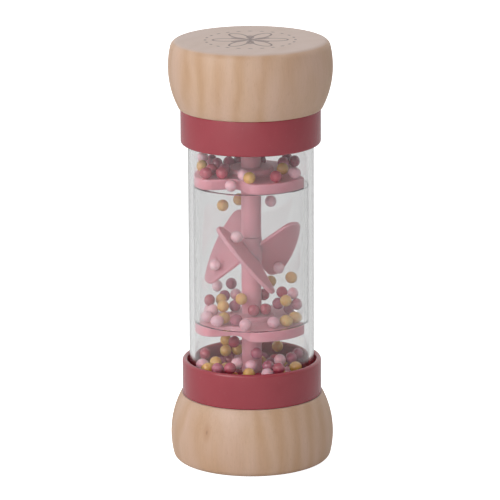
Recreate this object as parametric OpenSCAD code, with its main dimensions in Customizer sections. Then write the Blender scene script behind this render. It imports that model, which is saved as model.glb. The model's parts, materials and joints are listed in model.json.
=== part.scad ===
// Rainstick: two turned wooden caps close a clear tube through two moulded collars. A shaft inside
// carries two notched discs and a free propeller, and small beads run down past them.
// The stick stands on its base cap: the origin is the centre of the base, and +Z is up.

/* [Whole stick] */
// Height of the whole stick
stick_h = 144; // [140:1:170]
// Facets of curved faces
$fn = 96; // [48:16:160]

/* [Wooden caps] */
// Height of one cap, from its flat end to its collar
cap_h = 22.8; // [21:0.2:26]
// Widest diameter of a cap
cap_d = 55; // [54:0.5:60]
// Height of the widest place above the flat end
cap_belly_h = 8.8; // [8:0.2:10]
// Radius of the belly's curve, seen from the side
cap_belly_r = 29.8; // [29:0.2:34]
// Radius of the rounded edge of the flat end
cap_edge_r = 2.6; // [1.5:0.1:3.5]

/* [Collars] */
// Outer diameter of a collar
collar_d = 47; // [46.6:0.2:48]
// Height of a collar
collar_h = 12; // [10:0.5:13]
// Wall of a collar
collar_wall = 1.8; // [1.4:0.1:1.9]
// Thickness of the floor that the beads lie on
collar_floor = 2.6; // [2.4:0.1:3]
// Diameter of the spigot that centres a collar in its cap
spigot_d = 30; // [28:1:34]
// Depth of the spigot in the wood
spigot_h = 3.5; // [2:0.5:5]

/* [Cap screws] */
// Number of screws in each cap
screw_n = 3; // [2:1:4]
// Radius of the circle of screws
screw_ring_r = 11; // [10:0.5:12]
// Length of a screw under its head's face
screw_l = 14; // [10:1:16]
// Diameter of a screw's shank
screw_d = 3; // [2.5:0.5:3.5]
// Diameter of a screw's head
screw_head_d = 5.8; // [5:0.2:6.4]

/* [Clear tube and sleeve] */
// Outer diameter of the tube
tube_d = 42.2; // [41.8:0.1:42.6]
// Inner diameter of the tube
tube_bore_d = 38.9; // [38.5:0.1:39.2]
// Depth of the groove in each collar's floor that seats the tube
tube_seat = 1.4; // [1:0.1:1.6]
// Length of the spacer sleeve between the discs
sleeve_h = 47; // [40:1:50]
// Outer diameter of the spacer sleeve
sleeve_d = 38.6; // [38.2:0.1:38.8]
// Inner diameter of the spacer sleeve
sleeve_bore_d = 35.4; // [35:0.1:36]

/* [Shaft] */
// Diameter of the shaft
shaft_d = 6.7; // [6.4:0.1:7]
// Diameter of the journal that the propeller turns on
journal_d = 4; // [3.6:0.2:4.4]
// Depth of the journal's end in the upper shaft
journal_grip = 6; // [4:0.5:8]
// Height of the socket on each collar's floor that holds the shaft
socket_h = 3; // [2:0.5:4]
// Outer diameter of that socket
socket_d = 10; // [9:0.5:10]

/* [Discs] */
// Diameter of a disc
disc_d = 38.2; // [37.6:0.1:38.6]
// Thickness of a disc
disc_t = 3.5; // [3:0.1:4]
// Diameter of the raised hub round the shaft
disc_hub_d = 15.2; // [13:0.2:16]
// Height of the raised hub
disc_hub_h = 2; // [1:0.1:2.5]
// Distance of a notch's point from the axis, before its rounding
notch_reach = 11; // [10:0.2:12]
// Opening angle of a notch
notch_angle = 107; // [90:1:110]
// Direction of the first notch, seen from above
notch_turn = 4.5; // [0:0.5:119]

/* [Propeller] */
// Distance of a blade's tip from the axis
blade_r = 16.5; // [15:0.1:16.6]
// Radius of the arc along a blade's tip
blade_tip_r = 38; // [30:1:45]
// Angle between a blade's side and its middle line
blade_fan = 51.3; // [45:0.1:52]
// Distance of a side from the middle line at the axis
blade_side = 1.7; // [1:0.1:2]
// Radius of a blade's rounded corners
blade_corner_r = 3.2; // [2:0.1:4]
// Thickness of a blade
blade_t = 1.3; // [1:0.1:1.6]
// Lean of the blades from upright
blade_pitch = 39.3; // [36:0.1:45]
// Drop of the blades' middle below the hub's middle
blade_drop = 0.3; // [0:0.1:0.5]
// Direction of the first blade's middle, seen from above
blade_turn = 21; // [0:1:119]
// Diameter of the hub
hub_d = 7.1; // [7:0.1:8]
// Height of the hub
hub_h = 10; // [9.6:0.2:12]

/* [Beads] */
// Diameter of a bead
bead_d = 4; // [3.6:0.1:4]

/* [Hidden] */

mid_z = stick_h / 2;
collar_z = cap_h;
floor_z = collar_z + collar_floor;
tube_z = floor_z - tube_seat;
lower_disc_z = mid_z - sleeve_h / 2 - disc_t;
upper_disc_z = mid_z + sleeve_h / 2;
lower_chamber_z = floor_z;
middle_chamber_z = lower_disc_z + disc_t;
upper_chamber_z = upper_disc_z + disc_t;
spigot_gap = 0.1;
hub_gap = 0.15;
journal_gap = 0.05;
bead_gap = 0.1;
blush = "#d3a9b3";
rose = "#a8545f";
plum = "#84525f";
ochre = "#b98f57";
pink = "#cf9aa6";
wood = "#d8bfa6";
collar_red = "#9c4a55";

// --- Small tools -----------------------------------------------------------------------------

function polar(r, a) = [r * cos(a), r * sin(a)];

// Turns what belongs to the lower half over to the upper half.
module upper_half() {
    translate([0, 0, stick_h]) mirror([0, 0, 1]) children();
}

module disc_ring(outer_d, inner_d, h) {
    difference() {
        cylinder(d = outer_d, h = h);
        translate([0, 0, -1]) cylinder(d = inner_d, h = h + 2);
    }
}

module at_screws() {
    for (i = [0 : screw_n - 1]) rotate(90 + i * 360 / screw_n) translate([screw_ring_r, 0, 0]) children();
}

// --- Wooden cap ------------------------------------------------------------------------------

// Half outline of a cap: one wide arc for the belly, and a small one round the flat end.
module cap_outline() {
    belly_x = cap_d / 2 - cap_belly_r;
    edge_x = belly_x + sqrt(pow(cap_belly_r - cap_edge_r, 2) - pow(cap_belly_h - cap_edge_r, 2));
    reach = cap_belly_r / (cap_belly_r - cap_edge_r);
    join = [belly_x + (edge_x - belly_x) * reach, cap_belly_h + (cap_edge_r - cap_belly_h) * reach];
    translate([edge_x, cap_edge_r]) circle(r = cap_edge_r);
    polygon([[0, 0], [edge_x, 0], [edge_x, cap_edge_r], join, [0, join[1]]]);
    intersection() {
        translate([belly_x, cap_belly_h]) circle(r = cap_belly_r, $fn = 2 * $fn);
        translate([0, join[1]]) square([cap_d, cap_h - join[1]]);
    }
}

module cap() {
    color(wood) difference() {
        rotate_extrude() cap_outline();
        translate([0, 0, cap_h - spigot_h]) cylinder(d = spigot_d + 2 * spigot_gap, h = spigot_h + 1);
        at_screws() translate([0, 0, floor_z - screw_l]) cylinder(d = screw_d, h = screw_l);
    }
}

module base_cap() { cap(); }
module top_cap() { upper_half() cap(); }

// --- Collar ----------------------------------------------------------------------------------

// Half outline of the wall: upright, with a fully rounded rim and a small edge at the wood.
module collar_wall_outline() {
    rim = collar_wall / 2;
    edge = 0.4;
    r = collar_d / 2;
    translate([r - collar_wall, 0]) square([collar_wall - edge, collar_h - rim]);
    translate([r - edge, edge]) square([edge, collar_h - rim - edge]);
    translate([r - edge, edge]) circle(r = edge, $fn = 32);
    translate([r - rim, collar_h - rim]) circle(r = rim, $fn = 32);
}

module screw_shape(gap) {
    head_h = (screw_head_d - screw_d) / 2;
    translate([0, 0, -head_h]) cylinder(d1 = screw_d + gap, d2 = screw_head_d + gap, h = head_h);
    tip = screw_d / 2;
    translate([0, 0, tip - screw_l]) cylinder(d = screw_d + gap, h = screw_l - tip - head_h);
    translate([0, 0, -screw_l]) cylinder(d1 = 1, d2 = screw_d + gap, h = tip);
}

module collar() {
    color(collar_red) translate([0, 0, collar_z]) difference() {
        union() {
            rotate_extrude() collar_wall_outline();
            cylinder(d = collar_d - 2 * collar_wall + 0.2, h = collar_floor);
            translate([0, 0, -spigot_h]) cylinder(d = spigot_d, h = spigot_h + 1);
            cylinder(d = socket_d, h = collar_floor + socket_h);
        }
        translate([0, 0, collar_floor - tube_seat]) disc_ring(tube_d, tube_bore_d, tube_seat + 1);
        translate([0, 0, collar_floor]) cylinder(d = shaft_d, h = socket_h + 1);
        at_screws() translate([0, 0, collar_floor]) {
            screw_shape(0.2);
            cylinder(d = screw_head_d + 0.2, h = 1);
        }
    }
}

module lower_collar() { collar(); }
module upper_collar() { upper_half() collar(); }

module cap_screws() {
    color("silver") at_screws() translate([0, 0, floor_z]) difference() {
        screw_shape(0);
        for (a = [0, 90]) rotate(a) translate([-1.6, -0.35, -1]) cube([3.2, 0.7, 2]);
    }
}

module lower_cap_screws() { cap_screws(); }
module upper_cap_screws() { upper_half() cap_screws(); }

// --- Clear tube and the sleeve between the discs ---------------------------------------------

module tube() {
    color("gainsboro", 0.3) translate([0, 0, tube_z]) disc_ring(tube_d, tube_bore_d, stick_h - 2 * tube_z);
}

module spacer_sleeve() {
    color("gainsboro", 0.3) translate([0, 0, middle_chamber_z]) disc_ring(sleeve_d, sleeve_bore_d, sleeve_h);
}

// --- Shaft: the lower half has the journal, and the upper half holds its end -----------------

module lower_shaft() {
    top = mid_z - hub_h / 2 - hub_gap;
    color(pink) {
        translate([0, 0, floor_z]) cylinder(d = shaft_d, h = top - floor_z);
        translate([0, 0, top - 1]) cylinder(d = journal_d, h = hub_h + 2 * hub_gap + journal_grip + 1);
    }
}

module upper_shaft() {
    bottom = mid_z + hub_h / 2 + hub_gap;
    color(pink) translate([0, 0, bottom]) difference() {
        cylinder(d = shaft_d, h = stick_h - floor_z - bottom);
        translate([0, 0, -1]) cylinder(d = journal_d, h = journal_grip + 1);
    }
}

// --- Notched disc ----------------------------------------------------------------------------

function turned(p, a) = [p[0] * cos(a) - p[1] * sin(a), p[0] * sin(a) + p[1] * cos(a)];
function arc(centre, r, from, to, steps) = [for (i = [0 : steps]) centre + polar(r, from + (to - from) * i / steps)];

// Outline of a disc: the rim, and three V notches with a rounded point and rounded corners. The first
// notch is worked out pointing along +X, counter-clockwise from its lower corner to the next notch.
function disc_outline() =
    let (half = notch_angle / 2, rim_r = disc_d / 2, point_r = 3.5, corner_r = 4)
    let (along = polar(1, half), start = [notch_reach, 0] + polar(corner_r, half + 90))
    let (run = sqrt(pow(start * along, 2) - start * start + pow(rim_r - corner_r, 2)) - start * along)
    let (corner = start + run * along, corner_a = atan2(corner[1], corner[0]))
    let (point = [notch_reach + point_r / sin(half), 0])
    let (one = concat(
        arc([corner[0], -corner[1]], corner_r, -corner_a, 90 - half, 8),
        arc(point, point_r, 270 - half, 90 + half, 8),
        arc(corner, corner_r, half - 90, corner_a, 8),
        arc([0, 0], rim_r, corner_a + 3, 117 - corner_a, 20)
    ))
    [for (i = [0 : 2]) for (p = one) turned(p, notch_turn + 120 * i)];

module disc() {
    hub_edge = 0.6;
    color(pink) difference() {
        union() {
            linear_extrude(disc_t) polygon(disc_outline());
            translate([0, 0, 1]) cylinder(d = disc_hub_d, h = disc_t - 1 + disc_hub_h - hub_edge);
            translate([0, 0, disc_t + disc_hub_h - hub_edge])
                cylinder(d1 = disc_hub_d, d2 = disc_hub_d - 2 * hub_edge, h = hub_edge);
        }
        translate([0, 0, -1]) cylinder(d = shaft_d, h = disc_t + disc_hub_h + 2);
    }
}

module lower_disc() { translate([0, 0, lower_disc_z]) disc(); }
module upper_disc() { translate([0, 0, upper_disc_z]) disc(); }

// --- Propeller -------------------------------------------------------------------------------

// Outline of a flat blade with its middle line along +X: two straight sides spread from the hub, and
// a rounded corner joins each to the wide arc of the tip.
function blade_outline() =
    let (tip_centre = [blade_r - blade_tip_r, 0], corner_r = blade_corner_r)
    let (along = polar(1, blade_fan), start = [0, blade_side] + polar(corner_r, blade_fan - 90) - tip_centre)
    let (run = sqrt(pow(start * along, 2) - start * start + pow(blade_tip_r - corner_r, 2)) - start * along)
    let (corner = start + run * along + tip_centre, tip_a = atan2(corner[1], corner[0] - tip_centre[0]))
    concat(
        [[0, -blade_side]],
        arc([corner[0], -corner[1]], corner_r, -90 - blade_fan, -tip_a, 8),
        arc(tip_centre, blade_tip_r, 1 - tip_a, tip_a - 1, 10),
        arc(corner, corner_r, tip_a, 90 + blade_fan, 8),
        [[0, blade_side]]
    );

module blade() {
    rotate([90 + blade_pitch, 0, 0]) linear_extrude(blade_t, center = true) polygon(blade_outline());
}

module propeller() {
    color(pink) translate([0, 0, mid_z]) difference() {
        union() {
            cylinder(d = hub_d, h = hub_h, center = true);
            for (i = [0 : 2]) rotate(blade_turn + 120 * i) translate([0, 0, -blade_drop]) blade();
        }
        cylinder(d = journal_d + 2 * journal_gap, h = hub_h + 2, center = true);
    }
}

// --- Beads -----------------------------------------------------------------------------------

// Falling beads as [x, y, z above the middle]: each has a free shaft of air down the stick.
notch_place = [-6.5, -13.6, 25.6];
left_place = [-9.5, -1, 16];
back_place = [-4.2, 6, 16.3];
right_place = [6.7, 4, 16.2];
landing_back_place = [6.9, 13.4, -14.1];
landing_shaft_place = [4.2, 4.5, -16.4];
landing_front_place = [-3.4, -4.6, -15.5];
last_left_place = [-6, 4.2, -33];
last_front_place = [1.6, -6, -34.3];

// Beads at rest as [x, y, height of the centre above their floor].
upper_blush = [[-16.5, 4.5, 4.2], [-2.5, -12.4, 2], [14, -10, 2]];
upper_rose = [[8, -15, 2], [-13, -4.2, 2], [-14.5, -9.5, 2], [-9.5, -9.5, 2]];
upper_plum = [[11, 5.5, 2], [12.5, 11.5, 2], [15, 7.5, 2], [-13.5, 9.5, 2], [-11.5, 4.5, 2],
    [-7.5, 6.5, 2], [-8.8, -4.2, 2], [-4, 9, 2], [3.2, 9.3, 2]];
upper_ochre = [[-16.5, 1, 2], [-0.5, -17, 2], [10.5, -3.5, 2]];

middle_blush = [[-15, 3.5, 2], [-14.5, -5, 2], [-11, -10.5, 2], [-2, -15.3, 2], [7, -12.5, 2],
    [-5.5, 9, 6], [14.3, 2.5, 8], [-13.2, -1, 3.2], [-12.2, 9.5, 8.9]];
middle_rose = [[-14.5, 2, 5.9], [0.7, -5.6, 4.3], [4.6, -4.4, 4.3], [10.5, 4, 8]];
middle_plum = [[-5.7, 1.5, 4], [-5, -9.5, 2], [9, 2, 4.6], [15.3, -0.5, 5], [13, 5.5, 2],
    [-9.5, 9, 5.5], [-7.2, 13.6, 8.6]];
middle_ochre = [[-10.5, 4.5, 5.4], [-9.5, -2, 4.8], [-9, -6.8, 2], [11.5, -1.5, 6.5], [11, -10.7, 2],
    [14, -6.5, 2]];

lower_blush = [[-16.3, -5.5, 8.4], [-5, -8.2, 9.45], [-0.3, -11.4, 9.45], [5, -16.3, 8], [9.4, -4, 9.45]];
lower_rose = [[-16.1, 4.3, 9.4], [-7.2, -13.8, 9.4], [8.7, -14.5, 9.4]];
lower_plum = [[5.3, -12, 9.45], [13.2, -2, 9.45], [15.8, 3.5, 9.4], [-11.2, -12.8, 8.9]];
lower_ochre = [[-12, -6.5, 9.45], [-14.5, -9.4, 8.1], [-9, 8, 9.45], [-5, 9.5, 9.45], [-9, 11, 12.4],
    [9, 13.5, 9.4], [14.3, -9.5, 8.4], [-1, -16.5, 8.2]];

// Beads that the propeller carries round, as [x, y, z above the middle].
blade_blush = [[-4.7, -10.8, 7.55], [-12.3, 0.5, -5], [9.5, 6.1, -7.5]];
blade_ochre = [[13.3, -2, -8.8]];

last_places = [last_left_place, last_front_place];
// Hidden layers of the pile on the lower floor, as [ring radius, bead count, height, turn].
bead_rings = [[17.2, 26, 2, 0], [13, 19, 2, 5], [8.8, 13, 2, 0], [13, 19, 5.45, 14.5], [8.8, 13, 5.45, 14]];

function clear_of_paths(p) =
    len([for (q = last_places) if (norm([p[0] - q[0], p[1] - q[1]]) < bead_d + bead_gap) 1]) == 0;

// Ring beads of one colour: the four colours take turns round each ring.
function ring_beads(colour) = [
    for (ring = bead_rings) for (i = [0 : ring[1] - 1])
        let (place = polar(ring[0], ring[3] + i * 360 / ring[1]))
        if ((i + ring[1]) % 4 == colour && clear_of_paths(place)) [place[0], place[1], ring[2]]
];

module beads(places, base_z, colour) {
    color(colour) for (p = places) translate([p[0], p[1], base_z + p[2]]) sphere(d = bead_d, $fn = 48);
}

module falling(place, colour) { beads([place], mid_z, colour); }

module upper_blush_beads() { beads(upper_blush, upper_chamber_z, blush); }
module upper_rose_beads() { beads(upper_rose, upper_chamber_z, rose); }
module upper_plum_beads() { beads(upper_plum, upper_chamber_z, plum); }
module upper_ochre_beads() { beads(upper_ochre, upper_chamber_z, ochre); }
module middle_blush_beads() { beads(middle_blush, middle_chamber_z, blush); }
module middle_rose_beads() { beads(middle_rose, middle_chamber_z, rose); }
module middle_plum_beads() { beads(middle_plum, middle_chamber_z, plum); }
module middle_ochre_beads() { beads(middle_ochre, middle_chamber_z, ochre); }
module lower_blush_beads() { beads(concat(lower_blush, ring_beads(0)), lower_chamber_z, blush); }
module lower_rose_beads() { beads(concat(lower_rose, ring_beads(1)), lower_chamber_z, rose); }
module lower_plum_beads() { beads(concat(lower_plum, ring_beads(2)), lower_chamber_z, plum); }
module lower_ochre_beads() { beads(concat(lower_ochre, ring_beads(3)), lower_chamber_z, ochre); }
module blade_beads() { beads(blade_blush, mid_z, blush); }
module tumbling_bead() { beads(blade_ochre, mid_z, ochre); }
module notch_bead() { falling(notch_place, blush); }
module falling_bead_left() { falling(left_place, ochre); }
module falling_bead_back() { falling(back_place, ochre); }
module falling_bead_right() { falling(right_place, blush); }
module landing_bead_back() { falling(landing_back_place, ochre); }
module landing_bead_shaft() { falling(landing_shaft_place, rose); }
module landing_bead_front() { falling(landing_front_place, ochre); }
module last_bead_left() { falling(last_left_place, rose); }
module last_bead_front() { falling(last_front_place, plum); }

base_cap();
top_cap();
lower_collar();
upper_collar();
lower_cap_screws();
upper_cap_screws();
tube();
spacer_sleeve();
lower_shaft();
upper_shaft();
lower_disc();
upper_disc();
propeller();
upper_blush_beads();
upper_rose_beads();
upper_plum_beads();
upper_ochre_beads();
middle_blush_beads();
middle_rose_beads();
middle_plum_beads();
middle_ochre_beads();
lower_blush_beads();
lower_rose_beads();
lower_plum_beads();
lower_ochre_beads();
blade_beads();
tumbling_bead();
notch_bead();
falling_bead_left();
falling_bead_back();
falling_bead_right();
landing_bead_back();
landing_bead_shaft();
landing_bead_front();
last_bead_left();
last_bead_front();
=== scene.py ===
import json
import math

import bmesh
import bpy
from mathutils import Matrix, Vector


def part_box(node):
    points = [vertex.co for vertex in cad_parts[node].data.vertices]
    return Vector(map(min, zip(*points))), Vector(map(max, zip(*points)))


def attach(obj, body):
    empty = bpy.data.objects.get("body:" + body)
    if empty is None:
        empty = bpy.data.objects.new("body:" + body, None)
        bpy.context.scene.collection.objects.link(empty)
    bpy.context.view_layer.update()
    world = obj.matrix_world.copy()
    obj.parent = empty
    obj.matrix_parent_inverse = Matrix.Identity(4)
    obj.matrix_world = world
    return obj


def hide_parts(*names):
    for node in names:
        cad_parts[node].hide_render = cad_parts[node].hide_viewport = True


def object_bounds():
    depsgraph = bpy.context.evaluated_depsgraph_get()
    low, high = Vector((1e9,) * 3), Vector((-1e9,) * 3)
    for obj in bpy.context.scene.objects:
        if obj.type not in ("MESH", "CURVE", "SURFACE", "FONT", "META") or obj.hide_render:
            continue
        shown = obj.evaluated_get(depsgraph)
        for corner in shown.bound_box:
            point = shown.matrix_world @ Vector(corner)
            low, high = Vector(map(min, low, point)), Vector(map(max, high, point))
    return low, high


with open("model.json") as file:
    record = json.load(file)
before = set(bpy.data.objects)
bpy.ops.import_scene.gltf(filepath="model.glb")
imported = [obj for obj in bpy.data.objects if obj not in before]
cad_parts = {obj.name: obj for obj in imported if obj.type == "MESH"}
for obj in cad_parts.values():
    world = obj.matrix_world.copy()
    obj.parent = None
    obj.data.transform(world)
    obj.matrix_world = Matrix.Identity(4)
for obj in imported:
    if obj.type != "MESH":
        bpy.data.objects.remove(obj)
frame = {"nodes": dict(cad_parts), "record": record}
cad_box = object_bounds()

# --- Wooden caps ---------------------------------------------------------------------------------
# The two end caps are beech, turned on a lathe with the grain along the stick, sanded and sealed
# with a thin satin lacquer. Screws hold each one from inside its collar. A flower is burnt on the top.

mm = 0.001
stick_h = cad_box[1].z - cad_box[0].z
mid_z = cad_box[0].z + stick_h / 2
cap_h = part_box("base_cap")[1].z
cap_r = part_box("base_cap")[1].x
belly_h = 8.8 * mm
belly_r = 29.8 * mm
end_edge_r = 2.6 * mm
neck_edge = 0.35 * mm
spigot_r = 15 * mm
spigot_h = 3.5 * mm
body_of = {}
for body, members in frame["record"]["behaviour"]["bodies"].items():
    for member in members:
        body_of[member] = body


def linear(text):
    """The linear colour of an sRGB hex value, with an alpha of 1."""
    parts = [int(text[i:i + 2], 16) / 255 for i in (1, 3, 5)]
    return [c / 12.92 if c <= 0.04045 else ((c + 0.055) / 1.055) ** 2.4 for c in parts] + [1]


def add(tree, kind, inputs=None, **settings):
    """Adds a node. An input is a value, or another node's socket that gets linked to it."""
    node = tree.nodes.new(kind)
    for name, value in settings.items():
        setattr(node, name, value)
    for name, value in (inputs or {}).items():
        if isinstance(value, bpy.types.NodeSocket):
            tree.links.new(value, node.inputs[name])
        else:
            node.inputs[name].default_value = value
    return node


def finish_named(name):
    """A new material's node tree and its shader."""
    made = bpy.data.materials.new(name)
    made.use_nodes = True
    return made, made.node_tree, made.node_tree.nodes["Principled BSDF"]


def arc(x, z, r, start, end, steps=12):
    """Points on a round stretch of a half outline, from one angle to another in degrees."""
    turns = [math.radians(start + (end - start) * i / steps) for i in range(steps + 1)]
    return [(x + r * math.cos(a), z + r * math.sin(a)) for a in turns]


def mirrored(outline):
    """The same half outline at the other end of the stick."""
    return [(r, 2 * mid_z - z) for r, z in outline]


def add_lathe(form, outline, steps=192):
    """Turns a closed half outline of (radius, height) round the stick's axis, into a closed solid."""
    rings = []
    for r, z in outline:
        turns = [math.tau * i / steps for i in range(1 if r == 0 else steps)]
        rings.append([form.verts.new((r * math.cos(a), r * math.sin(a), z)) for a in turns])
    for one, two in zip(rings, rings[1:] + rings[:1]):
        if len(one) + len(two) == 2:
            continue
        for i in range(steps):
            j = i + 1
            corners = [one[i % len(one)], one[j % len(one)], two[j % len(two)], two[i % len(two)]]
            form.faces.new(list(dict.fromkeys(corners)))


def piece(name, form, finish, sharp=35):
    """One object from a bmesh: faces outward, and smooth except at its edges."""
    bmesh.ops.recalc_face_normals(form, faces=form.faces)
    mesh = bpy.data.meshes.new(name)
    form.to_mesh(mesh)
    form.free()
    mesh.shade_smooth()
    mesh.set_sharp_from_angle(angle=math.radians(sharp))
    mesh.materials.append(finish)
    made = bpy.data.objects.new(name, mesh)
    bpy.context.scene.collection.objects.link(made)
    return made


def lathed(name, outline, finish, steps=192):
    """One object turned on a lathe from its half outline."""
    form = bmesh.new()
    add_lathe(form, outline, steps)
    return piece(name, form, finish)


def stands_for(made, node):
    """A finished piece takes the place of its CAD node, and moves with that node's body."""
    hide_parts(node)
    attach(made, body_of[node])


def pin_knot(tree, place, knot, colour):
    """The colour with a pin knot: a dark speck and a soft brown halo, drawn out along the grain."""
    around = add(tree, "ShaderNodeVectorMath", {0: place, 1: knot}, operation="SUBTRACT")
    shaped = add(tree, "ShaderNodeVectorMath", {0: around.outputs[0], 1: (1000, 1000, 420)},
                 operation="MULTIPLY")
    away = add(tree, "ShaderNodeVectorMath", {0: shaped.outputs[0]}, operation="LENGTH")
    halo = add(tree, "ShaderNodeMapRange", {"Value": away.outputs["Value"], "From Min": 2.2,
               "From Max": 0.3, "To Max": 0.4}, interpolation_type="SMOOTHSTEP")
    speck = add(tree, "ShaderNodeMapRange", {"Value": away.outputs["Value"], "From Min": 0.75,
                "From Max": 0.3, "To Max": 0.9}, interpolation_type="SMOOTHSTEP")
    browned = add(tree, "ShaderNodeMix", {0: halo.outputs[0], 6: colour, 7: linear("#a97a55")},
                  data_type="RGBA")
    knotted = add(tree, "ShaderNodeMix", {0: speck.outputs[0], 6: browned.outputs[2],
                  7: linear("#6b4331")}, data_type="RGBA")
    return knotted.outputs[2]


def burnt_flower(tree, place, facing, colour):
    """The colour with a laser-burnt flower on the flat end: six outlined petals, six solid ones, a dot
    and a ring of dashes."""
    petal_r = 12.5 * mm
    solid_r = 7.5 * mm
    dash_r = 15 * mm
    axes = add(tree, "ShaderNodeSeparateXYZ", {0: place}).outputs
    flat = add(tree, "ShaderNodeVectorMath", {0: place, 1: (1, 1, 0)}, operation="MULTIPLY")
    reach = add(tree, "ShaderNodeVectorMath", {0: flat.outputs[0]}, operation="LENGTH").outputs["Value"]
    turn = add(tree, "ShaderNodeMath", {0: axes["Y"], 1: axes["X"]}, operation="ARCTAN2")
    wide = add(tree, "ShaderNodeMath", {0: turn.outputs[0], 1: 3}, operation="MULTIPLY")
    crest = add(tree, "ShaderNodeMath", {0: wide.outputs[0]}, operation="COSINE")
    petal = add(tree, "ShaderNodeMath", {0: crest.outputs[0]}, operation="ABSOLUTE")
    dip = add(tree, "ShaderNodeMath", {0: wide.outputs[0]}, operation="SINE")
    between = add(tree, "ShaderNodeMath", {0: dip.outputs[0]}, operation="ABSOLUTE")

    # How far a place is from the line r = petal_r |cos 3a|, which is six petals.
    past = add(tree, "ShaderNodeMath", {0: petal.outputs[0], 1: -petal_r, 2: reach},
               operation="MULTIPLY_ADD")
    steep = add(tree, "ShaderNodeMath", {0: between.outputs[0], 1: 3 * petal_r}, operation="MULTIPLY")
    slant = add(tree, "ShaderNodeCombineXYZ", {"X": reach, "Y": steep.outputs[0]})
    stretch = add(tree, "ShaderNodeVectorMath", {0: slant.outputs[0]}, operation="LENGTH")
    lean = add(tree, "ShaderNodeMath", {0: reach, 1: stretch.outputs["Value"]}, operation="DIVIDE")
    beside = add(tree, "ShaderNodeMath", {0: past.outputs[0], 1: lean.outputs[0]}, operation="MULTIPLY")
    nearest = add(tree, "ShaderNodeMath", {0: beside.outputs[0]}, operation="ABSOLUTE")
    line = add(tree, "ShaderNodeMapRange", {"Value": nearest.outputs[0], "From Min": 0.45 * mm,
               "From Max": 0.2 * mm})

    # The solid petals lie between the outlined ones, round a dot and inside a ring of dashes.
    inner = add(tree, "ShaderNodeMath", {0: between.outputs[0], 1: -solid_r, 2: reach},
                operation="MULTIPLY_ADD")
    solid = add(tree, "ShaderNodeMapRange", {"Value": inner.outputs[0], "From Min": 0,
                "From Max": -0.4 * mm, "To Max": 0.75})
    dot = add(tree, "ShaderNodeMapRange", {"Value": reach, "From Min": 1.3 * mm, "From Max": 1.0 * mm})
    ring_off = add(tree, "ShaderNodeMath", {0: reach, 1: dash_r, 2: 0.4 * mm}, operation="COMPARE")
    fine = add(tree, "ShaderNodeMath", {0: turn.outputs[0], 1: 24}, operation="MULTIPLY")
    beat = add(tree, "ShaderNodeMath", {0: fine.outputs[0]}, operation="COSINE")
    dashes_on = add(tree, "ShaderNodeMath", {0: beat.outputs[0], 1: ring_off.outputs[0]},
                    operation="MULTIPLY")
    burnt = add(tree, "ShaderNodeMath", {0: line.outputs[0], 1: solid.outputs[0]}, operation="MAXIMUM")
    burnt = add(tree, "ShaderNodeMath", {0: burnt.outputs[0], 1: dot.outputs[0]}, operation="MAXIMUM")
    burnt = add(tree, "ShaderNodeMath", {0: burnt.outputs[0], 1: dashes_on.outputs[0]},
                operation="MAXIMUM")
    on_end = add(tree, "ShaderNodeMath", {0: facing, 1: 0.98}, operation="GREATER_THAN")
    mark = add(tree, "ShaderNodeMath", {0: burnt.outputs[0], 1: on_end.outputs[0]}, operation="MULTIPLY")
    depth = add(tree, "ShaderNodeMath", {0: mark.outputs[0], 1: 0.85}, operation="MULTIPLY")
    marked = add(tree, "ShaderNodeMix", {0: depth.outputs[0], 6: colour, 7: linear("#5e4743")},
                 data_type="RGBA")
    return marked.outputs[2]


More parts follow.
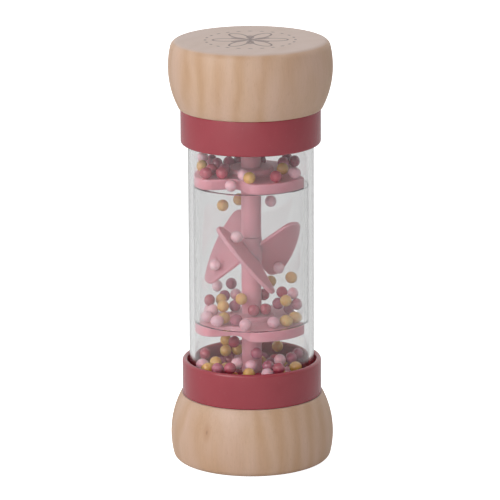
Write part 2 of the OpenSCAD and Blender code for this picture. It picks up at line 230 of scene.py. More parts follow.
def turned_beech(name, heart, knot=None, flower=False):
    """Satin beech: soft stripes where the growth rings are cut, fine fibres along the stick, short
    dark ray flecks, and a greyer colour on the flat ends."""
    ring_w = 7 * mm
    fibre_w = 0.5 * mm
    fibre_l = 12 * mm
    fleck_w = 0.3 * mm
    fleck_l = 1.6 * mm
    made, tree, shader = finish_named(name)
    coords = add(tree, "ShaderNodeTexCoord")
    place = coords.outputs["Object"]

    # Growth rings lie round the heart of the trunk and wander slowly along it.
    trunk = add(tree, "ShaderNodeMapping", {"Vector": place, "Location": heart,
                "Rotation": (0.03, -0.02, 0)})
    slow = add(tree, "ShaderNodeMapping", {"Vector": place, "Scale": (1, 1, 0.3)})
    wander = add(tree, "ShaderNodeTexNoise", {"Vector": slow.outputs[0], "Scale": 55, "Detail": 3})
    centred = add(tree, "ShaderNodeVectorMath", {0: wander.outputs["Color"], 1: (0.5, 0.5, 0.5)},
                  operation="SUBTRACT")
    moved = add(tree, "ShaderNodeVectorMath", {0: centred.outputs[0], 1: (14 * mm,) * 3,
                2: trunk.outputs[0]}, operation="MULTIPLY_ADD")
    rings = add(tree, "ShaderNodeTexWave", {
        "Vector": moved.outputs[0], "Scale": math.tau / 20 / ring_w, "Distortion": 4, "Detail": 3,
        "Detail Scale": 0.5}, wave_type="RINGS", rings_direction="Z")
    broad = add(tree, "ShaderNodeTexNoise", {"Vector": slow.outputs[0], "Scale": 90, "Detail": 2})
    soft_rings = add(tree, "ShaderNodeMath", {0: rings.outputs["Fac"], 1: 0.75}, operation="MULTIPLY")
    ring_depth = add(tree, "ShaderNodeMath", {0: soft_rings.outputs[0], 1: broad.outputs["Fac"]},
                     operation="MULTIPLY")

    # Fibres and ray flecks are long along the stick and thin across it.
    along = add(tree, "ShaderNodeMapping", {"Vector": place,
                "Scale": (1 / fibre_w, 1 / fibre_w, 1 / fibre_l)})
    fibres = add(tree, "ShaderNodeTexNoise", {"Vector": along.outputs[0], "Scale": 1, "Detail": 4,
                 "Roughness": 0.6})
    dashes = add(tree, "ShaderNodeMapping", {"Vector": place,
                 "Scale": (1 / fleck_w, 1 / fleck_w, 1 / fleck_l)})
    rays = add(tree, "ShaderNodeTexNoise", {"Vector": dashes.outputs[0], "Scale": 1, "Detail": 1})
    flecks = add(tree, "ShaderNodeMapRange", {"Value": rays.outputs["Fac"], "From Min": 0.62,
                 "From Max": 0.74}, interpolation_type="SMOOTHSTEP")

    # Colour: pink-white early wood, tan late wood, then fibres, flecks and a greyer colour on the faces
    # that point along the stick.
    blotch = add(tree, "ShaderNodeMix", {0: broad.outputs["Fac"], 6: linear("#cdae9f"),
                 7: linear("#c19e7b")}, data_type="RGBA")
    ringed = add(tree, "ShaderNodeMix", {0: ring_depth.outputs[0], 6: blotch.outputs[2],
                 7: linear("#b38a63")}, data_type="RGBA")
    fibre_tone = add(tree, "ShaderNodeMapRange", {"Value": fibres.outputs["Fac"], "From Min": 0.3,
                     "From Max": 0.7, "To Min": 0.96, "To Max": 1.03})
    fibrous = add(tree, "ShaderNodeVectorMath", {0: ringed.outputs[2], 1: fibre_tone.outputs[0]},
                  operation="MULTIPLY")
    fleck_depth = add(tree, "ShaderNodeMath", {0: flecks.outputs[0], 1: 0.16}, operation="MULTIPLY")
    flecked = add(tree, "ShaderNodeMix", {0: fleck_depth.outputs[0], 6: fibrous.outputs[0],
                  7: linear("#9c7050")}, data_type="RGBA")
    # The flat ends are mixed towards a paler grey, by how far each face points along the stick.
    facing = add(tree, "ShaderNodeSeparateXYZ", {0: coords.outputs["Normal"]})
    ending = add(tree, "ShaderNodeMath", {0: facing.outputs["Z"]}, operation="ABSOLUTE")
    flat_end_grey = add(tree, "ShaderNodeMapRange", {"Value": ending.outputs[0], "From Min": 0.75,
                    "From Max": 0.98, "To Max": 0.65}, interpolation_type="SMOOTHSTEP")
    greyed = add(tree, "ShaderNodeMix", {0: flat_end_grey.outputs[0], 6: flecked.outputs[2],
                 7: linear("#c6b4ad")}, data_type="RGBA")
    colour = greyed.outputs[2]

    if knot:
        colour = pin_knot(tree, place, knot, colour)
    if flower:
        colour = burnt_flower(tree, place, facing.outputs["Z"], colour)

    satin = add(tree, "ShaderNodeMapRange", {"Value": fibres.outputs["Fac"], "To Min": 0.5, "To Max": 0.38})
    grain = add(tree, "ShaderNodeBump", {"Height": fibres.outputs["Fac"], "Strength": 0.25,
                "Distance": 0.05 * mm})
    pits = add(tree, "ShaderNodeBump", {"Height": flecks.outputs[0], "Strength": 0.3,
               "Distance": 0.03 * mm, "Normal": grain.outputs[0]}, invert=True)
    tree.links.new(colour, shader.inputs["Base Color"])
    tree.links.new(satin.outputs[0], shader.inputs["Roughness"])
    tree.links.new(pits.outputs[0], shader.inputs["Normal"])
    shader.inputs["IOR"].default_value = 1.5
    return made


belly_x = cap_r - belly_r
edge_x = belly_x + math.sqrt((belly_r - end_edge_r) ** 2 - (belly_h - end_edge_r) ** 2)
join_a = math.degrees(math.atan2(end_edge_r - belly_h, edge_x - belly_x))
neck_a = math.degrees(math.asin((cap_h - neck_edge - belly_h) / belly_r))
neck_r = belly_x + belly_r * math.cos(math.radians(neck_a))
cap_outline = [(0, 0)]
cap_outline += arc(edge_x, end_edge_r, end_edge_r, -90, join_a, 16)
cap_outline += arc(belly_x, belly_h, belly_r, join_a, neck_a, 48)[1:]
cap_outline += [(neck_r - neck_edge, cap_h), (spigot_r, cap_h)]
cap_outline += [(spigot_r, cap_h - spigot_h), (0, cap_h - spigot_h)]

base_beech = turned_beech("turned_beech_base", (0.030, 0.048, 0), (-15.5 * mm, -22.6 * mm, 15.2 * mm))
top_beech = turned_beech("turned_beech_top", (-0.052, 0.046, 0), flower=True)
base_wood = lathed("base_cap_wood", cap_outline, base_beech)
stands_for(base_wood, "base_cap")
top_wood = lathed("top_cap_wood", mirrored(cap_outline), top_beech)
stands_for(top_wood, "top_cap")

# --- Collars -------------------------------------------------------------------------------------
# Each collar is one injection moulding in rose ABS: a wall round the tube, a floor for the beads, a
# spigot that centres it in the wood, and a socket for the shaft.

collar_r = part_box("lower_collar")[1].x
collar_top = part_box("lower_collar")[1].z
collar_wall = 1.8 * mm
collar_edge = 0.4 * mm
floor_t = 2.6 * mm
floor_z = cap_h + floor_t
tube_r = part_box("tube")[1].x
tube_bore_r = 19.45 * mm
tube_seat = 1.4 * mm
socket_r = 5 * mm
socket_h = 3 * mm
shaft_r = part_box("lower_shaft")[1].x


def rose_abs():
    """Moulded ABS, coloured through: an even satin gloss with a faint cloudiness from the flow of
    the plastic and a little light inside its thin rim."""
    made, tree, shader = finish_named("rose_abs")
    place = add(tree, "ShaderNodeTexCoord").outputs["Object"]
    cloud = add(tree, "ShaderNodeTexNoise", {"Vector": place, "Scale": 110, "Detail": 3})
    orange_peel = add(tree, "ShaderNodeTexNoise", {"Vector": place, "Scale": 1 / (0.9 * mm), "Detail": 2})
    dust = add(tree, "ShaderNodeTexNoise", {"Vector": place, "Scale": 1 / (0.5 * mm), "Detail": 1})
    specks = add(tree, "ShaderNodeMapRange", {"Value": dust.outputs["Fac"], "From Min": 0.73,
                 "From Max": 0.8, "To Max": 0.25}, interpolation_type="SMOOTHSTEP")
    tone = add(tree, "ShaderNodeMix", {0: cloud.outputs["Fac"], 6: linear("#943640"),
               7: linear("#9e3c46")}, data_type="RGBA")
    dusty = add(tree, "ShaderNodeMix", {0: specks.outputs[0], 6: tone.outputs[2],
                7: linear("#c58d94")}, data_type="RGBA")
    gloss = add(tree, "ShaderNodeMapRange", {"Value": cloud.outputs["Fac"], "To Min": 0.2, "To Max": 0.28})
    skin = add(tree, "ShaderNodeBump", {"Height": orange_peel.outputs["Fac"], "Strength": 0.12,
               "Distance": 0.02 * mm})
    tree.links.new(dusty.outputs[2], shader.inputs["Base Color"])
    tree.links.new(gloss.outputs[0], shader.inputs["Roughness"])
    tree.links.new(skin.outputs[0], shader.inputs["Normal"])
    shader.inputs["IOR"].default_value = 1.53
    shader.inputs["Subsurface Weight"].default_value = 0.12
    shader.inputs["Subsurface Radius"].default_value = (1.0, 0.35, 0.3)
    shader.inputs["Subsurface Scale"].default_value = 1.2 * mm
    return made


rim_r = collar_wall / 2
rim_z = collar_top - rim_r
collar_outline = [(0, cap_h - spigot_h), (spigot_r - collar_edge, cap_h - spigot_h)]
collar_outline += [(spigot_r, cap_h - spigot_h + collar_edge), (spigot_r, cap_h)]
collar_outline += arc(collar_r - collar_edge, cap_h + collar_edge, collar_edge, -90, 0, 6)
collar_outline += arc(collar_r - rim_r, rim_z, rim_r, 0, 180, 16)
collar_outline += [(collar_r - collar_wall, floor_z), (tube_r, floor_z), (tube_r, floor_z - tube_seat)]
collar_outline += [(tube_bore_r, floor_z - tube_seat), (tube_bore_r, floor_z)]
collar_outline += [(socket_r, floor_z), (socket_r, floor_z + socket_h - collar_edge)]
collar_outline += [(socket_r - collar_edge, floor_z + socket_h), (shaft_r, floor_z + socket_h)]
collar_outline += [(shaft_r, floor_z), (0, floor_z)]

collar_abs = rose_abs()
stands_for(lathed("lower_collar_ring", collar_outline, collar_abs), "lower_collar")
stands_for(lathed("upper_collar_ring", mirrored(collar_outline), collar_abs), "upper_collar")

# --- Cap screws ----------------------------------------------------------------------------------
# Three cross-slotted steel wood screws hold each collar to its cap, through the collar's floor. They
# are zinc plated, and their heads lie flush under the beads.


def zinc_plated_steel():
    """Bright zinc over steel: a grey metal with a slightly uneven, soft gleam."""
    made, tree, shader = finish_named("zinc_plated_steel")
    place = add(tree, "ShaderNodeTexCoord").outputs["Object"]
    spangle = add(tree, "ShaderNodeTexNoise", {"Vector": place, "Scale": 1 / (0.8 * mm), "Detail": 2})
    tone = add(tree, "ShaderNodeMix", {0: spangle.outputs["Fac"], 6: linear("#b4b6b8"),
               7: linear("#d3d2cd")}, data_type="RGBA")
    gleam = add(tree, "ShaderNodeMapRange", {"Value": spangle.outputs["Fac"], "To Min": 0.25,
                "To Max": 0.42})
    tree.links.new(tone.outputs[2], shader.inputs["Base Color"])
    tree.links.new(gleam.outputs[0], shader.inputs["Roughness"])
    shader.inputs["Metallic"].default_value = 1
    return made


screw_zinc = zinc_plated_steel()
for node in ("lower_cap_screws", "upper_cap_screws"):
    for place in frame["nodes"][node].material_slots:
        place.material = screw_zinc

# --- Clear tube and spacer sleeve ----------------------------------------------------------------
# The tube is extruded clear plastic, cut square and seated in a groove in each collar. The thinner
# sleeve inside holds the two discs apart, and its cut ends show as fine dark lines.

fit_gap = 0.03 * mm
cut_edge = 0.15 * mm
sleeve_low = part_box("spacer_sleeve")[0].z
sleeve_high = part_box("spacer_sleeve")[1].z
sleeve_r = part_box("spacer_sleeve")[1].x
sleeve_bore_r = 17.7 * mm


def clear_plastic(name, tint):
    """Clear extruded plastic: nearly colourless, with faint draw lines along it that bend what is
    behind. A lamp's shadow rays pass straight through, tinted, so that the inside is lit."""
    line_w = 4 * mm
    line_l = 250 * mm
    made, tree, shader = finish_named(name)
    place = add(tree, "ShaderNodeTexCoord").outputs["Object"]
    drawn = add(tree, "ShaderNodeMapping", {"Vector": place, "Scale": (1 / line_w, 1 / line_w, 1 / line_l)})
    lines = add(tree, "ShaderNodeTexNoise", {"Vector": drawn.outputs[0], "Scale": 1, "Detail": 0})
    haze = add(tree, "ShaderNodeMapRange", {"Value": lines.outputs["Fac"], "To Min": 0.015, "To Max": 0.05})
    wave = add(tree, "ShaderNodeBump", {"Height": lines.outputs["Fac"], "Strength": 0.1,
               "Distance": 0.02 * mm})
    tree.links.new(haze.outputs[0], shader.inputs["Roughness"])
    tree.links.new(wave.outputs[0], shader.inputs["Normal"])
    shader.inputs["Base Color"].default_value = linear(tint)
    shader.inputs["IOR"].default_value = 1.49
    shader.inputs["Specular IOR Level"].default_value = 0.35
    shader.inputs["Transmission Weight"].default_value = 1
    rays = add(tree, "ShaderNodeLightPath")
    through = add(tree, "ShaderNodeBsdfTransparent", {"Color": linear(tint)})
    mixed = add(tree, "ShaderNodeMixShader", {0: rays.outputs["Is Shadow Ray"], 1: shader.outputs[0],
                2: through.outputs[0]})
    tree.links.new(mixed.outputs[0], tree.nodes["Material Output"].inputs["Surface"])
    return made


def cut_tube(outer, bore, low, high):
    """Half outline of a tube with slightly broken edges at its cut ends."""
    return [(bore + cut_edge, low), (outer - cut_edge, low), (outer, low + cut_edge),
            (outer, high - cut_edge), (outer - cut_edge, high), (bore + cut_edge, high),
            (bore, high - cut_edge), (bore, low + cut_edge)]


tube_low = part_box("tube")[0].z + fit_gap
tube_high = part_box("tube")[1].z - fit_gap
tube_outline = cut_tube(tube_r, tube_bore_r, tube_low, tube_high)
stands_for(lathed("tube_clear", tube_outline, clear_plastic("clear_tube_plastic", "#fafafa"), 256),
           "tube")
sleeve_outline = cut_tube(sleeve_r, sleeve_bore_r, sleeve_low + fit_gap, sleeve_high - fit_gap)
stands_for(lathed("sleeve_clear", sleeve_outline, clear_plastic("clear_sleeve_plastic", "#fdfdfd"), 256),
           "spacer_sleeve")

# --- Shaft ---------------------------------------------------------------------------------------
# The shaft is moulded pink polypropylene in two halves. The lower one ends in the journal that the
# propeller turns on, and the journal's tip is pressed into the upper one.

shaft_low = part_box("lower_shaft")[0].z
shaft_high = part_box("upper_shaft")[1].z
journal_r = 2 * mm
journal_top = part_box("lower_shaft")[1].z
hub_h = 10 * mm
shoulder_gap = 0.08 * mm
hub_low = mid_z - hub_h / 2 - shoulder_gap
hub_high = mid_z + hub_h / 2 + shoulder_gap
soft_edge = 0.15 * mm


def pink_polypropylene():
    """Moulded polypropylene in a dusty pink: soft and milky, with light spreading under its skin
    and a dull, slightly waxy gloss."""
    made, tree, shader = finish_named("pink_polypropylene")
    place = add(tree, "ShaderNodeTexCoord").outputs["Object"]
    cloud = add(tree, "ShaderNodeTexNoise", {"Vector": place, "Scale": 160, "Detail": 3})
    skin = add(tree, "ShaderNodeTexNoise", {"Vector": place, "Scale": 1 / (0.6 * mm), "Detail": 2})
    tone = add(tree, "ShaderNodeMix", {0: cloud.outputs["Fac"], 6: linear("#d38f9b"),
               7: linear("#dc9da8")}, data_type="RGBA")
    waxy = add(tree, "ShaderNodeMapRange", {"Value": skin.outputs["Fac"], "To Min": 0.4, "To Max": 0.52})
    bumpy = add(tree, "ShaderNodeBump", {"Height": skin.outputs["Fac"], "Strength": 0.12,
                "Distance": 0.02 * mm})
    tree.links.new(tone.outputs[2], shader.inputs["Base Color"])
    tree.links.new(waxy.outputs[0], shader.inputs["Roughness"])
    tree.links.new(bumpy.outputs[0], shader.inputs["Normal"])
    shader.inputs["IOR"].default_value = 1.49
    shader.inputs["Subsurface Weight"].default_value = 0.85
    shader.inputs["Subsurface Radius"].default_value = (1.0, 0.7, 0.7)
    shader.inputs["Subsurface Scale"].default_value = 4 * mm
    return made


pink_pp = pink_polypropylene()
lower_rod = [(0, shaft_low), (shaft_r, shaft_low), (shaft_r, hub_low - soft_edge)]
lower_rod += arc(shaft_r - soft_edge, hub_low - soft_edge, soft_edge, 0, 90, 6)
lower_rod += [(journal_r, hub_low), (journal_r, journal_top), (0, journal_top)]
stands_for(lathed("lower_shaft_rod", lower_rod, pink_pp, 96), "lower_shaft")
upper_rod = [(shaft_r, shaft_high), (shaft_r, hub_high + soft_edge)]
upper_rod += arc(shaft_r - soft_edge, hub_high + soft_edge, soft_edge, 0, -90, 6)
upper_rod += [(journal_r, hub_high), (journal_r, journal_top), (0, journal_top), (0, shaft_high)]
stands_for(lathed("upper_shaft_rod", upper_rod, pink_pp, 96), "upper_shaft")

# --- Discs ---------------------------------------------------------------------------------------
# Two moulded pink discs sit on the shaft at the ends of the sleeve. Three V notches let the beads
# down a few at a time, and a raised hub keeps them off the shaft.

disc_r = 19.1 * mm
disc_t = 3.5 * mm
disc_hub_r = 7.6 * mm
disc_hub_h = 2 * mm
notch_reach = 11 * mm
notch_half = 53.5
notch_turn = 4.5
point_r = 3.5 * mm
corner_r = 4 * mm


def disc_outline():
    """The rim and three V notches, counter-clockwise, with a rounded point and rounded corners."""
    half = math.radians(notch_half)
    along = Vector((math.cos(half), math.sin(half)))
    start = Vector((notch_reach - corner_r * along.y, corner_r * along.x))
    ahead = start.dot(along)
    run = math.sqrt(ahead ** 2 - start.dot(start) + (disc_r - corner_r) ** 2) - ahead
    corner = start + run * along
    corner_a = math.degrees(math.atan2(corner.y, corner.x))
    point_x = notch_reach + point_r / math.sin(half)
    one = arc(corner.x, -corner.y, corner_r, -corner_a, 90 - notch_half, 10)
    one += arc(point_x, 0, point_r, 270 - notch_half, 90 + notch_half, 14)
    one += arc(corner.x, corner.y, corner_r, notch_half - 90, corner_a, 10)
    one += arc(0, 0, disc_r, corner_a + 2, 118 - corner_a, 30)
    turned = []
    for i in range(3):
        a = math.radians(notch_turn + 120 * i)
        turned += [(x * math.cos(a) - y * math.sin(a), x * math.sin(a) + y * math.cos(a)) for x, y in one]
    return turned


def disc(name, low):
    """One disc: each station round it goes from the bore, over the bottom and rim, to the hub."""
    edge = 0.45 * mm
    top = low + disc_t
    hub_top = top + disc_hub_h
    inner = [(shaft_r, hub_top), (shaft_r, low)]
    hub = [(disc_hub_r + 0.5 * mm, top), (disc_hub_r, top + 0.5 * mm)]
    hub += arc(disc_hub_r - 0.6 * mm, hub_top - 0.6 * mm, 0.6 * mm, 0, 90, 6)
    form = bmesh.new()
    stations = []
    for x, y in disc_outline():
        reach = math.hypot(x, y)
        rim = arc(reach - edge, low + edge, edge, -90, 0, 5) + arc(reach - edge, top - edge, edge, 0, 90, 5)
        stations.append([form.verts.new((x / reach * r, y / reach * r, z)) for r, z in inner + rim + hub])
    for one, two in zip(stations, stations[1:] + stations[:1]):
        for i in range(len(one)):
            j = (i + 1) % len(one)
            form.faces.new([one[i], two[i], two[j], one[j]])
    return piece(name, form, pink_pp)


stands_for(disc("lower_disc_plate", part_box("lower_disc")[0].z), "lower_disc")
stands_for(disc("upper_disc_plate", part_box("upper_disc")[0].z), "upper_disc")

# --- Propeller -----------------------------------------------------------------------------------
# The propeller turns freely on the journal: a moulded hub with three flat fan-shaped blades that lean
# over like a windmill's sails. Beads that strike a blade push it round.

blade_r = 16.5 * mm
blade_tip_r = 38 * mm
blade_fan = math.radians(51.3)
blade_side = 1.7 * mm
blade_corner_r = 3.2 * mm
blade_t = 1.3 * mm
blade_edge = 0.4 * mm
blade_pitch = math.radians(39.3)
blade_drop = 0.3 * mm
blade_turn = 21
hub_r = 3.55 * mm
bore_r = journal_r + 0.05 * mm
root_r = 2.8 * mm
root_half = 3.66 * mm


def blade_outline():
    """A flat blade with its middle line along X: it starts inside the hub's wall, its sides spread,
    and rounded corners lead into the wide arc of the tip."""
    tip_x = blade_r - blade_tip_r
    along = Vector((math.cos(blade_fan), math.sin(blade_fan)))
    start = Vector((blade_corner_r * along.y - tip_x, blade_side - blade_corner_r * along.x))
    ahead = start.dot(along)
    run = math.sqrt(ahead ** 2 - start.dot(start) + (blade_tip_r - blade_corner_r) ** 2) - ahead
    corner = start + run * along
    tip_a = math.degrees(math.atan2(corner.y, corner.x))
    side_a = 90 + math.degrees(blade_fan)
    outline = arc(corner.x + tip_x, -corner.y, blade_corner_r, -side_a, -tip_a, 10)
    outline += arc(tip_x, 0, blade_tip_r, -tip_a, tip_a, 24)[1:-1]
    outline += arc(corner.x + tip_x, corner.y, blade_corner_r, tip_a, side_a, 10)
    for i in range(13):
        v = root_half * (1 - i / 6)
        outline.append((math.sqrt(root_r ** 2 - (v * math.sin(blade_pitch)) ** 2), v))
    return outline


def add_blade(form, turn):
    """One blade: its plate with rounded edges, leaned over and set in its place round the hub."""
    placed = set(form.verts)
    corners = [form.verts.new((u, v, -blade_t / 2)) for u, v in blade_outline()]
    grown = bmesh.ops.extrude_face_region(form, geom=[form.faces.new(corners)], use_keep_orig=True)["geom"]
    raised = [item for item in grown if isinstance(item, bmesh.types.BMVert)]
    bmesh.ops.translate(form, verts=raised, vec=(0, 0, blade_t))
    rims = [edge for vert in corners + raised for edge in vert.link_edges]
    rims = [edge for edge in set(rims) if edge.verts[0].co.z == edge.verts[1].co.z]
    bmesh.ops.bevel(form, geom=rims, offset=blade_edge, segments=4, profile=0.5, affect="EDGES")
    out = Vector((math.cos(turn), math.sin(turn), 0))
    side = Vector((-math.sin(turn), math.cos(turn), 0))
    up = Vector((0, 0, 1))
    width = math.cos(blade_pitch) * up - math.sin(blade_pitch) * side
    face = math.cos(blade_pitch) * side + math.sin(blade_pitch) * up
    for vert in form.verts:
        if vert not in placed:
            u, v, w = vert.co
            vert.co = u * out + v * width + w * face + (mid_z - blade_drop) * up


hub_outline = [(bore_r, mid_z - hub_h / 2), (hub_r - soft_edge, mid_z - hub_h / 2)]
hub_outline += arc(hub_r - soft_edge, mid_z - hub_h / 2 + soft_edge, soft_edge, -90, 0, 6)[1:]
hub_outline += arc(hub_r - soft_edge, mid_z + hub_h / 2 - soft_edge, soft_edge, 0, 90, 6)
hub_outline += [(bore_r, mid_z + hub_h / 2)]
propeller_form = bmesh.new()
add_lathe(propeller_form, hub_outline, 96)
for i in range(3):
    add_blade(propeller_form, math.radians(blade_turn + 120 * i))
blades = piece("propeller_blades", propeller_form, pink_pp, 60)
for face in blades.data.polygons:
    face.use_smooth = len(face.vertices) == 4
stands_for(blades, "propeller")

# --- Beads ---------------------------------------------------------------------------------------
# Small polystyrene beads in four colours, tumbled smooth, with a faint mould seam. They lie on each
# floor, ride on the propeller, or fall from one chamber to the next.

bead_r = 1.98 * mm
settled_nodes = [node for node in sorted(frame["nodes"]) if "bead" in node]


def bead_tree():
    """Geometry Nodes that put one round bead on every point, each with its own turn and tint."""
    tree = bpy.data.node_groups.new("beads_on_points", "GeometryNodeTree")
    sockets = tree.interface
    sockets.new_socket("Geometry", in_out="INPUT", socket_type="NodeSocketGeometry")
    sockets.new_socket("Bead radius", in_out="INPUT", socket_type="NodeSocketFloat")
    sockets.new_socket("Bead plastic", in_out="INPUT", socket_type="NodeSocketMaterial")
    sockets.new_socket("Seed", in_out="INPUT", socket_type="NodeSocketInt")
    sockets.new_socket("Geometry", in_out="OUTPUT", socket_type="NodeSocketGeometry")
    given = add(tree, "NodeGroupInput").outputs
    ball = add(tree, "GeometryNodeMeshIcoSphere", {"Radius": given["Bead radius"], "Subdivisions": 4})
    where = add(tree, "GeometryNodeInputPosition")
    unit = add(tree, "ShaderNodeVectorMath", {0: where.outputs[0], "Scale": 1 / bead_r}, operation="SCALE")
    marked = add(tree, "GeometryNodeStoreNamedAttribute", {"Geometry": ball.outputs["Mesh"],
                 "Name": "bead_place", "Value": unit.outputs[0]}, data_type="FLOAT_VECTOR", domain="POINT")
    smooth = add(tree, "GeometryNodeSetShadeSmooth", {"Geometry": marked.outputs[0]})
    turn = add(tree, "FunctionNodeRandomValue", {0: (0, 0, 0), 1: (math.tau,) * 3, "Seed": given["Seed"]},
               data_type="FLOAT_VECTOR")
    spread = add(tree, "GeometryNodeInstanceOnPoints", {"Points": given["Geometry"],
                 "Instance": smooth.outputs[0], "Rotation": turn.outputs[0]})
    chance = add(tree, "FunctionNodeRandomValue", {2: 0.0, 3: 1.0, "Seed": given["Seed"]},
                 data_type="FLOAT")
    tinted = add(tree, "GeometryNodeStoreNamedAttribute", {"Geometry": spread.outputs[0],
                 "Name": "bead_tint", "Value": chance.outputs[1]}, data_type="FLOAT", domain="INSTANCE")
    real = add(tree, "GeometryNodeRealizeInstances", {"Geometry": tinted.outputs[0]})
    coloured = add(tree, "GeometryNodeSetMaterial", {"Geometry": real.outputs[0],
                   "Material": given["Bead plastic"]})
    add(tree, "NodeGroupOutput", {"Geometry": coloured.outputs[0]})
    return tree


def bead_plastic(name, deep, pale):
    """Tumbled polystyrene: a soft pearly gloss over a milky body, a tint that differs a little from
    bead to bead, and a thin seam round the middle where the mould closed."""
    made, tree, shader = finish_named(name)
    tint = add(tree, "ShaderNodeAttribute", attribute_name="bead_tint")
    spot = add(tree, "ShaderNodeAttribute", attribute_name="bead_place")
    mottle = add(tree, "ShaderNodeTexNoise", {"Vector": spot.outputs["Vector"], "Scale": 1.6, "Detail": 2})
    blend = add(tree, "ShaderNodeMath", {0: tint.outputs["Fac"], 1: 0.7, 2: mottle.outputs["Fac"]},
                operation="MULTIPLY_ADD")
    share = add(tree, "ShaderNodeMapRange", {"Value": blend.outputs[0], "From Min": 0.3, "From Max": 1.4})
    height = add(tree, "ShaderNodeSeparateXYZ", {0: spot.outputs["Vector"]})
    level = add(tree, "ShaderNodeMath", {0: height.outputs["Z"]}, operation="ABSOLUTE")
    seam = add(tree, "ShaderNodeMapRange", {"Value": level.outputs[0], "From Min": 0.07, "From Max": 0.02,
               "To Max": 0.35}, interpolation_type="SMOOTHSTEP")
    body = add(tree, "ShaderNodeMix", {0: share.outputs[0], 6: linear(deep), 7: linear(pale)},
               data_type="RGBA")
    seamed = add(tree, "ShaderNodeMix", {0: seam.outputs[0], 6: body.outputs[2], 7: linear(pale)},
                 data_type="RGBA")
    gloss = add(tree, "ShaderNodeMapRange", {"Value": mottle.outputs["Fac"], "To Min": 0.14,
                "To Max": 0.28})
    ridge = add(tree, "ShaderNodeBump", {"Height": seam.outputs[0], "Strength": 0.4,
                "Distance": 0.05 * mm})
    tree.links.new(seamed.outputs[2], shader.inputs["Base Color"])
    tree.links.new(gloss.outputs[0], shader.inputs["Roughness"])
    tree.links.new(ridge.outputs[0], shader.inputs["Normal"])
    shader.inputs["IOR"].default_value = 1.55
    shader.inputs["Subsurface Weight"].default_value = 0.7
    shader.inputs["Subsurface Radius"].default_value = (1.0, 0.6, 0.5)
    shader.inputs["Subsurface Scale"].default_value = 1.6 * mm
    return made


def bead_centres(node):
    """The middle of each bead of a CAD node, from the loose parts of its mesh."""
    form = bmesh.new()
    form.from_mesh(frame["nodes"][node].data)
    bmesh.ops.remove_doubles(form, verts=form.verts, dist=1e-6)
    waiting = set(form.verts)
    centres = []
    while waiting:
        reached = [waiting.pop()]
        for vert in reached:
            for edge in vert.link_edges:
                other = edge.other_vert(vert)
                if other in waiting:
                    waiting.remove(other)
                    reached.append(other)
        low = Vector([min(v.co[i] for v in reached) for i in range(3)])
        high = Vector([max(v.co[i] for v in reached) for i in range(3)])
        centres.append((low + high) / 2)
    form.free()
    return sorted(centres, key=lambda place: tuple(round(part, 6) for part in place))


def settled(made):
    """The evaluated result of an object's modifiers as its own plain mesh."""
    evaluated = made.evaluated_get(bpy.context.evaluated_depsgraph_get())
    mesh = bpy.data.meshes.new_from_object(evaluated)
    made.modifiers.clear()
    made.data = mesh
    return made


bead_finishes = {
    "blush_bead": bead_plastic("blush_polystyrene", "#dca5b2", "#f0cad2"),
    "rose_bead": bead_plastic("rose_polystyrene", "#a53d50", "#bd5063"),
    "plum_bead": bead_plastic("plum_polystyrene", "#a24d64", "#ba677c"),
    "ochre_bead": bead_plastic("ochre_polystyrene", "#c9974f", "#ddb46a"),
}
bead_nodes = bead_tree()
node_slot = {part["node"]: part["material_slot"] for part in frame["record"]["subparts"]}

for seed, node in enumerate(settled_nodes):
    slot = node_slot[node]
    points = bpy.data.meshes.new(node + "_centres")
    points.from_pydata(bead_centres(node), [], [])
    made = bpy.data.objects.new(node + "_round", points)
    bpy.context.scene.collection.objects.link(made)
    spread = made.modifiers.new("beads", "NODES")
    spread.node_group = bead_nodes
    items = bead_nodes.interface.items_tree
    spread[items["Bead radius"].identifier] = bead_r
    spread[items["Bead plastic"].identifier] = bead_finishes[slot]
    spread[items["Seed"].identifier] = seed
    stands_for(settled(made), node)

# --- Floor, light and camera ---------------------------------------------------------------------
# A plain white table and backdrop. The key softbox stands to the left, a wide one in front, and one
# hangs overhead. The white room fills the rest.

backdrop_level = 1.0
through_level = 0.78
room_front = 0.26
room_back = 0.75


def level_seen(tree, plain, glossy, through):
    """How bright the white set looks to each kind of ray: the camera sees it white, the clear plastic
    shows it at the studio's own grey, and light bounced off the stick sees its plain level."""
    rays = add(tree, "ShaderNodeLightPath").outputs
    shine = add(tree, "ShaderNodeMix", {0: rays["Is Glossy Ray"], 2: plain, 3: glossy})
    behind = add(tree, "ShaderNodeMix", {0: rays["Is Transmission Ray"], 2: shine.outputs[0], 3: through})
    direct = add(tree, "ShaderNodeMix", {0: rays["Is Camera Ray"], 2: behind.outputs[0], 3: backdrop_level})
    first = add(tree, "ShaderNodeMath", {0: rays["Diffuse Depth"], 1: 0.5}, operation="LESS_THAN")
    return add(tree, "ShaderNodeMix", {0: first.outputs[0], 2: plain, 3: direct.outputs[0]}).outputs[0]


def white_table():
    """The table: matt white for the light it throws back, with a glow that lifts it to the
    backdrop's white wherever it is looked at, and still shows the shadow under the stick."""
    made, tree, shader = finish_named("white_table")
    shader.inputs["Base Color"].default_value = (0.8, 0.8, 0.8, 1)
    shader.inputs["Roughness"].default_value = 0.9
    shader.inputs["Specular IOR Level"].default_value = 0
    lift = level_seen(tree, 0.0, 0.0, 0.14)
    glow = add(tree, "ShaderNodeEmission", {"Color": (1, 1, 1, 1), "Strength": lift})
    both = add(tree, "ShaderNodeAddShader", {0: shader.outputs[0], 1: glow.outputs[0]})
    tree.links.new(both.outputs[0], tree.nodes["Material Output"].inputs["Surface"])
    return made


table_half = 6
table = bpy.data.meshes.new("table")
table.from_pydata([(-table_half, -table_half, 0), (table_half, -table_half, 0),
                   (table_half, table_half, 0), (-table_half, table_half, 0)], [], [(0, 1, 2, 3)])
table.materials.append(white_table())
floor = bpy.data.objects.new("table", table)
bpy.context.scene.collection.objects.link(floor)

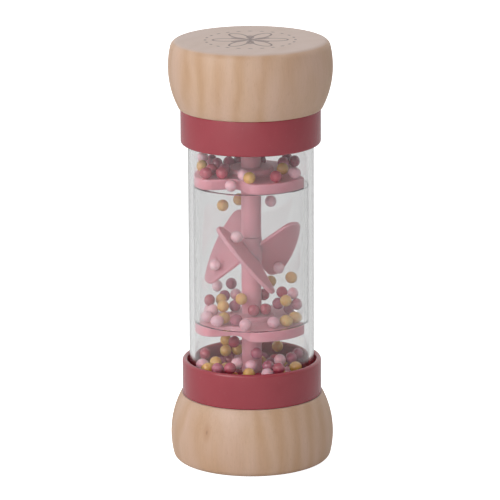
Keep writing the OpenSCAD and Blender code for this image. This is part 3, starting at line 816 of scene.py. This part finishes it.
room = bpy.data.worlds.new("white_room")
room.use_nodes = True
room_tree = room.node_tree
ways = add(room_tree, "ShaderNodeTexCoord").outputs["Generated"]
way = add(room_tree, "ShaderNodeSeparateXYZ", {0: ways}).outputs
plain = add(room_tree, "ShaderNodeMapRange", {"Value": way["Y"], "From Min": -0.6, "From Max": 0.6,
            "To Min": room_front, "To Max": room_back}, interpolation_type="SMOOTHSTEP").outputs[0]
shine = add(room_tree, "ShaderNodeMapRange", {"Value": way["Y"], "From Min": -0.6, "From Max": 0.6,
            "To Min": 0.25, "To Max": backdrop_level}, interpolation_type="SMOOTHSTEP").outputs[0]
ambient = room_tree.nodes["Background"]
room_tree.links.new(level_seen(room_tree, plain, shine, through_level), ambient.inputs["Strength"])
ambient.inputs["Color"].default_value = (1, 1, 1, 1)
bpy.context.scene.world = room

middle = Vector((0, 0, mid_z))


def softbox(name, azimuth, elevation, distance, width, height, watts):
    """A rectangular lamp turned to the stick. Azimuth 0 is in front, and positive to the right."""
    lamp = bpy.data.lights.new(name, "AREA")
    lamp.shape = "RECTANGLE"
    lamp.size = width
    lamp.size_y = height
    lamp.energy = watts
    made = bpy.data.objects.new(name, lamp)
    a = math.radians(azimuth)
    e = math.radians(elevation)
    away = Vector((math.sin(a) * math.cos(e), -math.cos(a) * math.cos(e), math.sin(e)))
    made.location = middle + distance * away
    made.rotation_euler = away.to_track_quat("Z", "Y").to_euler()
    bpy.context.scene.collection.objects.link(made)


softbox("key_softbox", -48, 27, 1.3, 0.7, 1.0, 7.9)
softbox("front_softbox", -16, 15, 1.6, 1.5, 1.1, 6.8)
softbox("overhead_softbox", 0, 86, 1.5, 1.4, 1.4, 1.9)

camera_data = bpy.data.cameras.new("camera")
camera_data.sensor_width = 36
camera_data.lens = 288
camera_data.clip_end = 20
camera = bpy.data.objects.new("camera", camera_data)
bpy.context.scene.collection.objects.link(camera)
camera_distance = 1.3456
camera_elevation = math.radians(14.2)
camera_roll = math.radians(0.29)
aim = middle + Vector((-0.44 * mm, 0, 0))
away = Vector((0, -math.cos(camera_elevation), math.sin(camera_elevation)))
camera.location = aim + camera_distance * away
camera.rotation_euler = away.to_track_quat("Z", "Y").to_euler()
camera.rotation_euler.rotate_axis("Z", -camera_roll)
bpy.context.scene.camera = camera
bpy.context.scene.view_settings.view_transform = "Standard"
